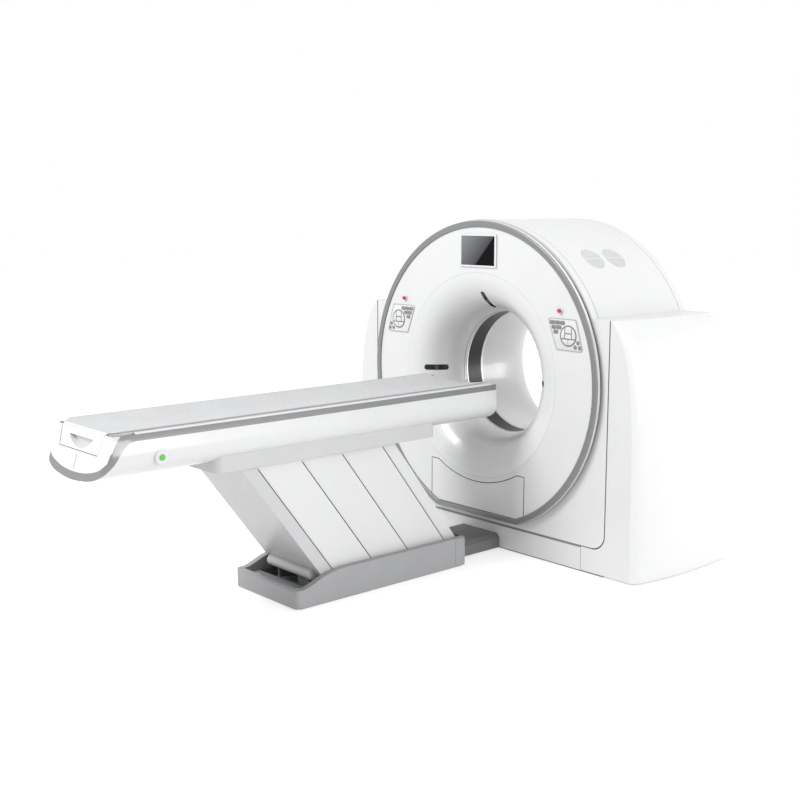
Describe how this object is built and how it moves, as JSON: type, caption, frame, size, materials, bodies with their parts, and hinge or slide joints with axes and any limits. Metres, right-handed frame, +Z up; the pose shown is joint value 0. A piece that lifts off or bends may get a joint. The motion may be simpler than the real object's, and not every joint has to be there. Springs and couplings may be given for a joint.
{
  "type": "ct scanner",
  "caption": "Medical CT scanner: gantry with a round patient bore and a long couch on a leaning, folding lift column.",
  "frame": {"origin": "on the floor, straight below the centre of the scan plane on the bore axis", "axes": "+Z up, +Y along the bore axis away from the couch, +X to the right when looking into the bore from the couch"},
  "size_m": [2.3502, 3.3935, 1.895],
  "materials": {
    "white_shell": "satin moulded shell",
    "grey_trim": "satin grey",
    "black_rubber": "matt",
    "dark_glass": "gloss",
    "dark_band": "matt dark film",
    "red_plastic": "gloss",
    "green_plastic": "gloss",
    "key_grey": "membrane keypad",
    "frame_steel": "powder coat",
    "bearing_steel": "ground",
    "cast_aluminium": "cast",
    "carbon_board": "satin",
    "pad_vinyl": "soft vinyl",
    "column_grey": "satin",
    "base_grey": "satin"
  },
  "bodies": {
    "root": {"front_disc": "white_shell", "disc_trim": "grey_trim", "service_hatch": "white_shell", "disc_gasket": "black_rubber", "funnel": "white_shell", "laser_windows": "dark_glass", "scan_window": "dark_band", "rear_tunnel": "white_shell", "front_cover": "white_shell", "rear_cover": "white_shell", "top_shell": "white_shell", "side_cover_right": "white_shell", "side_cover_left": "white_shell", "front_skirt": "white_shell", "display_bezel": "white_shell", "display_screen": "dark_glass", "stop_collars": "white_shell", "control_panels": "key_grey", "gantry_base": "frame_steel", "stator": "frame_steel", "bearing_outer_ring": "bearing_steel", "brush_block": "black_rubber", "rotor_belt": "black_rubber", "rotor_motor": "cast_aluminium", "base_cover": "base_grey", "base_end": "base_grey", "base_plate": "frame_steel", "lift_gearmotor": "cast_aluminium", "bridge_duct": "base_grey"},
    "stop_left": {"stop_button_left": "red_plastic"},
    "stop_right": {"stop_button_right": "red_plastic"},
    "rotor": {"bearing_inner_ring": "bearing_steel", "rotor_plate": "cast_aluminium", "xray_tube": "cast_aluminium", "collimator": "bearing_steel", "high_voltage_generator": "cast_aluminium", "counterweight": "bearing_steel", "detector": "cast_aluminium", "slip_ring": "cast_aluminium"},
    "pulley": {"motor_pulley": "bearing_steel"},
    "table": {"couch_body": "white_shell", "couch_band": "grey_trim", "end_cap": "white_shell", "green_button_bezel": "white_shell", "cradle_channel": "white_shell", "linear_drive": "frame_steel", "table_frame": "frame_steel", "saddle_cover": "white_shell"},
    "green_button": {"green_button": "green_plastic"},
    "cradle": {"cradle": "carbon_board", "cradle_pad": "pad_vinyl", "cradle_runners": "frame_steel", "tail_handle": "white_shell"},
    "front_link": {"front_arms": "frame_steel", "column_front_cover": "column_grey"},
    "rear_link": {"rear_arms": "frame_steel", "column_rear_cover": "white_shell"},
    "slat_1": {"side_slats_1": "white_shell"},
    "slat_2": {"side_slats_2": "white_shell"},
    "slat_3": {"side_slats_3": "white_shell"}
  },
  "joints": [
    {"name": "lift", "type": "hinge", "parent": "root", "child": "front_link", "pos_m": [0, -1.599, 0.13], "axis": [1, 0, 0], "range_deg": [0, 22]},
    {"name": "rear_link_pivot", "type": "hinge", "parent": "root", "child": "rear_link", "pos_m": [0, -0.752, 0.13], "axis": [1, 0, 0], "range_deg": [0, 22]},
    {"name": "slat_pivot_1", "type": "hinge", "parent": "root", "child": "slat_1", "pos_m": [0, -1.508, 0.13], "axis": [1, 0, 0], "range_deg": [0, 22]},
    {"name": "slat_pivot_2", "type": "hinge", "parent": "root", "child": "slat_2", "pos_m": [0, -1.184, 0.13], "axis": [1, 0, 0], "range_deg": [0, 22]},
    {"name": "slat_pivot_3", "type": "hinge", "parent": "root", "child": "slat_3", "pos_m": [0, -0.899, 0.13], "axis": [1, 0, 0], "range_deg": [0, 22]},
    {"name": "table_level", "type": "hinge", "parent": "front_link", "child": "table", "pos_m": [0, -2.09963, 0.787], "axis": [1, 0, 0], "range_deg": [-22, 0]},
    {"name": "cradle_slide", "type": "slide", "parent": "table", "child": "cradle", "axis": [0, 1, 0], "range_m": [0, 1.6]},
    {"name": "rotor_spin", "type": "hinge", "parent": "root", "child": "rotor", "pos_m": [0, 0, 1], "axis": [0, 1, 0], "continuous": true},
    {"name": "pulley_spin", "type": "hinge", "parent": "root", "child": "pulley", "pos_m": [0.86, 0, 0.43], "axis": [0, 1, 0], "continuous": true},
    {"name": "stop_left_press", "type": "slide", "parent": "root", "child": "stop_left", "axis": [0, 1, 0], "range_m": [0, 0.005], "stiffness_N_per_m": 800, "springref_m": -0.001},
    {"name": "stop_right_press", "type": "slide", "parent": "root", "child": "stop_right", "axis": [0, 1, 0], "range_m": [0, 0.005], "stiffness_N_per_m": 800, "springref_m": -0.001},
    {"name": "green_button_press", "type": "slide", "parent": "table", "child": "green_button", "axis": [-1, 0, 0], "range_m": [0, 0.004], "stiffness_N_per_m": 500, "springref_m": -0.001}
  ],
  "couplings": [
    {"joint": "rear_link_pivot", "follows": "lift", "ratio": 1},
    {"joint": "slat_pivot_1", "follows": "lift", "ratio": 1},
    {"joint": "slat_pivot_2", "follows": "lift", "ratio": 1},
    {"joint": "slat_pivot_3", "follows": "lift", "ratio": 1},
    {"joint": "table_level", "follows": "lift", "ratio": -1},
    {"joint": "pulley_spin", "follows": "rotor_spin", "ratio": 11.667}
  ]
}
